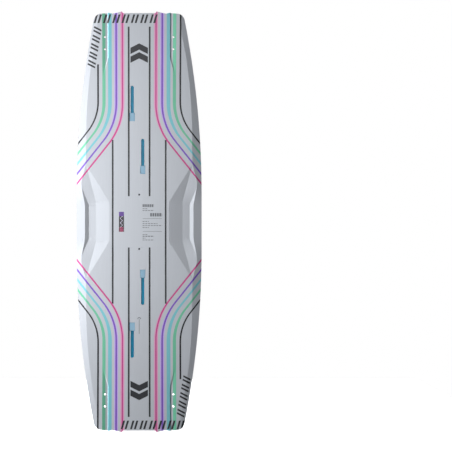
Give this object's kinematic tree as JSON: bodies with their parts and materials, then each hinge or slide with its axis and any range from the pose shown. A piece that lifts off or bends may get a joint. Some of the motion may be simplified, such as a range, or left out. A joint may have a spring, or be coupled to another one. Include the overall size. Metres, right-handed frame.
{
  "type": "kiteboard",
  "caption": "Twin-tip kiteboard with a faceted concave deck, recessed strap tracks with sliding nuts and mouth plugs, grab-handle inserts and through holes for fin screws.",
  "frame": {"origin": "midway between the two grab-handle inserts, at the deck surface on the board's centreline", "axes": "+Z along the board's length, +X across it, the deck faces -Y and the base faces +Y; the board is held upright by its handle inserts, as it hangs on a wall"},
  "size_m": [0.41, 0.058, 1.36],
  "materials": {
    "deck_topsheet": "satin silver grey print with coloured lines",
    "laminate": "glass and resin, translucent",
    "core_wood": "pale paulownia strips",
    "rail_abs": "satin",
    "base_sheet": "gloss dark fibre print",
    "track_blue": "satin",
    "plug_pale_blue": "satin",
    "nut_steel": "turned",
    "insert_steel": "turned",
    "bush_plastic": "satin",
    "deck_label": "satin print"
  },
  "bodies": {
    "board": {"deck_topsheet": "deck_topsheet", "deck_laminate": "laminate", "core_outer_left": "core_wood", "core_inner_left": "core_wood", "core_centre": "core_wood", "core_inner_right": "core_wood", "core_outer_right": "core_wood", "rail_left": "rail_abs", "rail_right": "rail_abs", "rail_upper_tip": "rail_abs", "rail_lower_tip": "rail_abs", "base_laminate": "laminate", "base_sheet": "base_sheet", "track_upper_outer": "track_blue", "track_upper_inner": "track_blue", "track_lower_inner": "track_blue", "track_lower_outer": "track_blue", "handle_insert_upper": "insert_steel", "handle_insert_lower": "insert_steel", "fin_bushes_upper_left": "bush_plastic", "fin_bushes_upper_right": "bush_plastic", "fin_bushes_lower_left": "bush_plastic", "fin_bushes_lower_right": "bush_plastic", "deck_label": "deck_label"},
    "nut_upper_outer": {"sliding_nut_upper_outer": "nut_steel"},
    "plug_upper_outer": {"mouth_plug_upper_outer": "plug_pale_blue"},
    "nut_upper_inner": {"sliding_nut_upper_inner": "nut_steel"},
    "plug_upper_inner": {"mouth_plug_upper_inner": "plug_pale_blue"},
    "nut_lower_inner": {"sliding_nut_lower_inner": "nut_steel"},
    "plug_lower_inner": {"mouth_plug_lower_inner": "plug_pale_blue"},
    "nut_lower_outer": {"sliding_nut_lower_outer": "nut_steel"},
    "plug_lower_outer": {"mouth_plug_lower_outer": "plug_pale_blue"}
  },
  "joints": [
    {"name": "nut_slide_upper_outer", "type": "slide", "parent": "board", "child": "nut_upper_outer", "axis": [0, -0.075, 0.9972], "range_m": [0, 0.0934]},
    {"name": "plug_lift_upper_outer", "type": "slide", "parent": "board", "child": "plug_upper_outer", "axis": [0, -0.9972, -0.075], "range_m": [0, 0.03]},
    {"name": "nut_slide_upper_inner", "type": "slide", "parent": "board", "child": "nut_upper_inner", "axis": [0, -0.0417, 0.9991], "range_m": [0, 0.0934]},
    {"name": "plug_lift_upper_inner", "type": "slide", "parent": "board", "child": "plug_upper_inner", "axis": [0, -0.9991, -0.0417], "range_m": [0, 0.03]},
    {"name": "nut_slide_lower_inner", "type": "slide", "parent": "board", "child": "nut_lower_inner", "axis": [0, -0.0417, -0.9991], "range_m": [0, 0.0934]},
    {"name": "plug_lift_lower_inner", "type": "slide", "parent": "board", "child": "plug_lower_inner", "axis": [0, -0.9991, 0.0417], "range_m": [0, 0.03]},
    {"name": "nut_slide_lower_outer", "type": "slide", "parent": "board", "child": "nut_lower_outer", "axis": [0, -0.075, -0.9972], "range_m": [0, 0.0934]},
    {"name": "plug_lift_lower_outer", "type": "slide", "parent": "board", "child": "plug_lower_outer", "axis": [0, -0.9972, 0.075], "range_m": [0, 0.03]}
  ]
}
